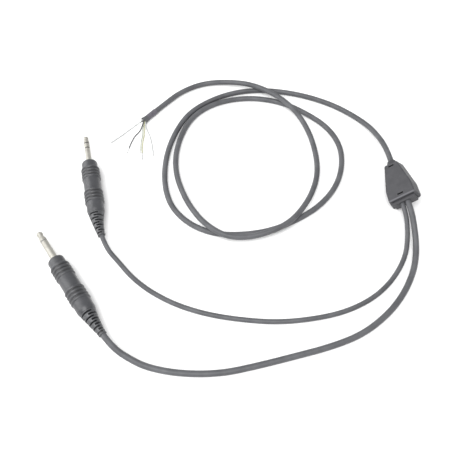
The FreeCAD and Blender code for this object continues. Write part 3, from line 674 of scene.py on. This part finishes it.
def relief_mesh(plug):
    """Slotted, tapering strain relief that curves away from the handle, with a round lip."""
    bend = math.radians(plug["bend"])
    arc_r = RELIEF_LENGTH / bend
    lean = math.radians(plug["lean"])
    side = Vector((0.0, -math.cos(lean), -math.sin(lean)))
    bore = plug["cord_r"] + FIT
    angles = relief_angles(plug["web_turn"])
    build = bmesh.new()
    slot_painted_shade = build.verts.layers.float.new("slot_painted_shade")

    def ring(at, radii):
        swing = at / arc_r
        middle = Vector((HANDLE_END - arc_r * math.sin(swing), 0, 0))
        middle += side * arc_r * (1 - math.cos(swing))
        heading = Vector((-math.cos(swing), 0, 0)) + side * math.sin(swing)
        turn = Vector((-1, 0, 0)).rotation_difference(heading)
        up = turn @ Vector((0, 0, 1))
        right = turn @ Vector((0, -1, 0))
        verts = []
        for angle, radius in zip(angles, radii):
            spoke = up * math.cos(math.radians(angle)) + right * math.sin(math.radians(angle))
            verts.append(build.verts.new((middle + spoke * radius) * MM))
        return verts

    def in_web(angle, slot):
        from_web = (angle - plug["web_turn"] - 90.0 * (slot % 2) + 90.0) % 180.0 - 90.0
        return abs(from_web) < WEB_HALF

    rings = [ring(0.1, [bore] * len(angles))]
    for at, radius, slot, cut in relief_rows():
        outer = radius or blend(RELIEF_STEPS, at)
        radii = []
        for angle in angles:
            deep = 0.0 if slot == NO_SLOT or in_web(angle, slot) else cut
            radii.append(max(outer - deep, bore + 0.14))
        rings.append(ring(at, radii))
        # Painted shade: each point's share of the darkening that stands for shade deep in a slot.
        for vert, radius in zip(rings[-1], radii):
            shade = (outer - radius - SLOT_SHADE_FROM) / SLOT_SHADE_OVER
            vert[slot_painted_shade] = min(1.0, max(0.0, shade))
    rings.append(ring(RELIEF_LENGTH, [bore] * len(angles)))
    skin(build, rings, True)
    return build


def tube(build, points, radius, sides=8):
    """A closed round tube along points in metres, with its ends capped."""
    heading = (points[1] - points[0]).normalized()
    up = heading.orthogonal().normalized()
    rings = [[build.verts.new(points[0])]]
    for i, point in enumerate(points):
        after = points[min(i + 1, len(points) - 1)]
        before = points[max(i - 1, 0)]
        new_heading = (after - before).normalized()
        up = heading.rotation_difference(new_heading) @ up
        heading = new_heading
        across = heading.cross(up).normalized()
        ring = []
        for j in range(sides):
            angle = math.tau * j / sides
            spoke = up * math.cos(angle) + across * math.sin(angle)
            ring.append(build.verts.new(point + spoke * radius))
        rings.append(ring)
    rings.append([build.verts.new(points[-1])])
    skin(build, rings, False)


def twisted(build, points, bundle_r, strand_r, turns, strands, splay=0.0, root=0.0):
    """Thin strands laid round a line, like tinned wire; they spread a little at the ends."""
    heading = (points[1] - points[0]).normalized()
    up = heading.orthogonal().normalized()
    frames = []
    for i, point in enumerate(points):
        new_heading = (points[min(i + 1, len(points) - 1)] - points[max(i - 1, 0)]).normalized()
        up = heading.rotation_difference(new_heading) @ up
        heading = new_heading
        frames.append((point, up.copy(), heading.cross(up).normalized()))
    for k in range(strands):
        line = []
        last = len(points) - 1 - (k * 5 % 3)
        for i in range(last + 1):
            point, up, across = frames[i]
            share = i / (len(points) - 1)
            angle = math.tau * (k / strands + turns * share)
            loose = 0.5 + (k * 7 % 5) / 4
            out = bundle_r * (1.0 + splay * max(0.0, share - 0.7) / 0.3 * loose)
            out += root * max(0.0, 1.0 - share / 0.3) ** 1.5
            line.append(point + (up * math.cos(angle) + across * math.sin(angle)) * out)
        tube(build, line, strand_r, 6)
    tube(build, [frame[0] for frame in frames], strand_r, 6)


def line_between(start, end, count):
    """Evenly spaced points of a straight line."""
    return [start.lerp(end, i / (count - 1)) for i in range(count)]


def keep_above_floor(build):
    """Lift the points of thin wires that would dip into the floor."""
    for vert in build.verts:
        vert.co.z = max(vert.co.z, FLOOR_GAP * MM)


def lead_tip(name, node, route, length):
    """Tinned end of a lead: bare twisted strands."""
    end = Vector(route[-1]) * MM
    heading = (end - Vector(route[-2]) * MM).normalized()
    build = bmesh.new()
    points = line_between(end - heading * TIP_OVERLAP * MM, end + heading * length * MM, 30)
    turns = length / TIP_LAY
    twisted(build, points, TIP_BUNDLE_R * MM, TIP_STRAND_R * MM, turns, TIP_STRANDS, splay=0.45)
    keep_above_floor(build)
    return new_piece(name, build, node)


def stripped_end(route):
    """Shrunk sleeve over the end of the main cord, and the jacket's cut and flared mouth."""
    end = Vector(route[-1])
    heading = (end - Vector(route[-2])).normalized()
    up = heading.orthogonal().normalized()
    across = heading.cross(up).normalized()
    side_count = 72

    def body(rows, wobble, ragged):
        build = bmesh.new()
        rings = []
        for along, out, reach in rows:
            ring = []
            for j in range(side_count):
                angle = math.tau * j / side_count
                wave = math.sin(3 * angle + along * 0.9) + 0.6 * math.sin(5 * angle - along * 1.7)
                tear = math.sin(2 * angle + 0.7) + 0.5 * math.sin(7 * angle)
                tear += 0.3 * math.sin(13 * angle)
                spoke = up * math.cos(angle) + across * math.sin(angle)
                place = end + heading * (along + ragged * reach * tear) + spoke * (out + wobble * wave)
                place.z = max(place.z, 0.05)
                ring.append(build.verts.new(place * MM))
            rings.append(ring)
        skin(build, rings, True)
        return build

    inner = MAIN_D / 2 + 0.03
    rim_r = SLEEVE_R - 0.14
    rim = 0.15
    rows = [(-SLEEVE_LENGTH, inner, 0), (-SLEEVE_LENGTH, rim_r, 0), (rim - SLEEVE_LENGTH, SLEEVE_R, 0)]
    rows += [(-SLEEVE_LENGTH + 0.6 * k, SLEEVE_R, 0) for k in range(1, 20)]
    rows += [(-rim, SLEEVE_R, 0), (0.0, rim_r, 0), (0.0, inner, 0)]
    shrunk = body(rows, wobble=0.035, ragged=0.0)
    sleeve = new_piece("end_sleeve_shrunk", shrunk, "end_sleeve")
    shares = [k / 11 for k in range(12)]
    outside = [SLEEVE_R - 0.12 + (FLARE_R - SLEEVE_R) * share ** 1.4 for share in shares]
    rows = [(FLARE_LENGTH * share, out, share ** 2) for share, out in zip(shares, outside)]
    rows += [(along, out - FLARE_WALL, reach) for along, out, reach in rows[::-1]]
    torn = body(rows, wobble=0.05, ragged=0.28)
    return [sleeve, new_piece("jacket_mouth", torn, "jacket_flare")]


def screen(name, node, route, length):
    """Bare screen, twisted into one bundle, with a stray strand."""
    curve = smooth_curve(name + "_route", route, 0, 14)
    line = bpy.data.meshes.new_from_object(curve)
    points = [vert.co.copy() for vert in line.vertices]
    bpy.data.objects.remove(curve)
    build = bmesh.new()
    turns = length / (SCREEN_LAY * MM)
    twisted(build, points, SCREEN_BUNDLE_R * MM, SCREEN_STRAND_R * MM, turns, SCREEN_STRANDS,
            splay=0.4, root=1.0 * MM)
    start = points[len(points) // 4]
    ahead = Vector((0.0, 0.3, 0.1)) * MM
    aside = Vector((-0.25, 0.09, 0.0)) * MM
    stray = [start + ahead * t + aside * t * t / 7 for t in range(7)]
    stray = [Vector((p.x, p.y, max(p.z, 0.1 * MM))) for p in stray]
    tube(build, stray, STRAY_R * MM, 6)
    keep_above_floor(build)
    piece = new_piece(name, build, node)


def soften(node, width, crease=35.0):
    """Round the sharp edges of a moulded CAD piece a little."""
    piece = frame["nodes"][node]
    bevel = piece.modifiers.new("rounded_edges", "BEVEL")
    bevel.width = width * MM
    bevel.segments = 2
    bevel.limit_method = "ANGLE"
    bevel.angle_limit = math.radians(crease)
    bevel.use_clamp_overlap = True
    weld = piece.modifiers.new("doubled_points", "WELD")
    weld.merge_threshold = 0.002 * MM


for name in frame["nodes"]:
    dress(name)
pale_ring = plain_finish("pale_insulator", linear(112, 112, 111), linear(126, 126, 124), 0.35)
frame["nodes"]["phones_plug_tip_insulator"].data.materials[0] = pale_ring
for name in ("junction_cover", "junction_base"):
    soften(name, 0.35)

for name, plug in PLUGS.items():
    matrix = plug_matrix(plug)
    new_piece(name + "_grip", handle_mesh(plug), name + "_handle", matrix)
    new_piece(name + "_boot", relief_mesh(plug), name + "_strain_relief", matrix)
    new_piece(name + "_sleeve", sleeve_mesh(plug), name + "_sleeve_contact", matrix)
    new_piece(name + "_tip", tip_mesh(plug), name + "_tip_contact", matrix)
mic = PLUGS["mic_plug"]
new_piece("mic_plug_ring", ring_mesh(mic), "mic_plug_ring_contact", plug_matrix(mic))

end_pieces = stripped_end(MAIN_ROUTE)
cord("main_cord_line", "main_cord", MAIN_ROUTE, MAIN_D)
cord("mic_leg_line", "mic_leg", MIC_ROUTE, MIC_D)
cord("phones_leg_line", "phones_leg", PHONES_ROUTE, PHONES_D)
screen("screen_line", "screen_lead", SCREEN_ROUTE, 0.047)
for colour, route, length, bared in LEADS:
    strands = lead_tip(colour + "_strands", colour + "_lead_tip", route, bared)
    cord(colour + "_line", colour + "_lead", route, LEAD_D)


def place_camera():
    """The camera, at the photograph's angle and distance."""
    camera = bpy.data.cameras.new("camera")
    camera.lens = LENS
    camera.sensor_width = 36.0
    camera.clip_start = 0.01
    camera.clip_end = 20.0
    eye = bpy.data.objects.new("camera", camera)
    bpy.context.scene.collection.objects.link(eye)
    eye.location = Vector(EYE) * MM
    gaze = (Vector(LOOKS_AT) - Vector(EYE)).normalized()
    eye.rotation_mode = "QUATERNION"
    eye.rotation_quaternion = gaze.to_track_quat("-Z", "Y")
    bpy.context.scene.camera = eye


def soft_light(name, place, width, height, power):
    """A large flat lamp that points at the object."""
    light = bpy.data.lights.new(name, "AREA")
    light.shape = "RECTANGLE"
    light.size = width
    light.size_y = height
    light.energy = power
    lamp = bpy.data.objects.new(name, light)
    bpy.context.scene.collection.objects.link(lamp)
    lamp.location = place
    lamp.rotation_mode = "QUATERNION"
    lamp.rotation_quaternion = (Vector(place) * -1).to_track_quat("-Z", "Y")


def floor():
    """A plain pale floor under the object."""
    mesh = bpy.data.meshes.new("floor")
    build = bmesh.new()
    bmesh.ops.create_grid(build, x_segments=1, y_segments=1, size=3.0)
    build.to_mesh(mesh)
    build.free()
    ground = bpy.data.objects.new("floor", mesh)
    bpy.context.scene.collection.objects.link(ground)
    finish = Finish("floor_paper", 0.9, specular=0.1)
    stops = [(0.0, linear(246, 246, 246)), (1.0, linear(250, 250, 250))]
    finish.colour(finish.ramp(finish.noise(4, 2.0), stops))
    mesh.materials.append(finish.material)


def world():
    """Even white light from all round."""
    surround = bpy.data.worlds.new("surround")
    surround.use_nodes = True
    background = surround.node_tree.nodes["Background"]
    background.inputs["Color"].default_value = (1.0, 1.0, 1.0, 1.0)
    background.inputs["Strength"].default_value = 0.72
    bpy.context.scene.world = surround


place_camera()
floor()
world()

# Lights: place and size in m, power in W
soft_light("key_light", (-1.15, 0.25, 0.6), 1.7, 0.9, 11.0)
soft_light("top_light", (-0.25, -0.7, 1.4), 1.2, 1.2, 24.0)
bpy.context.scene.view_settings.view_transform = "Standard"
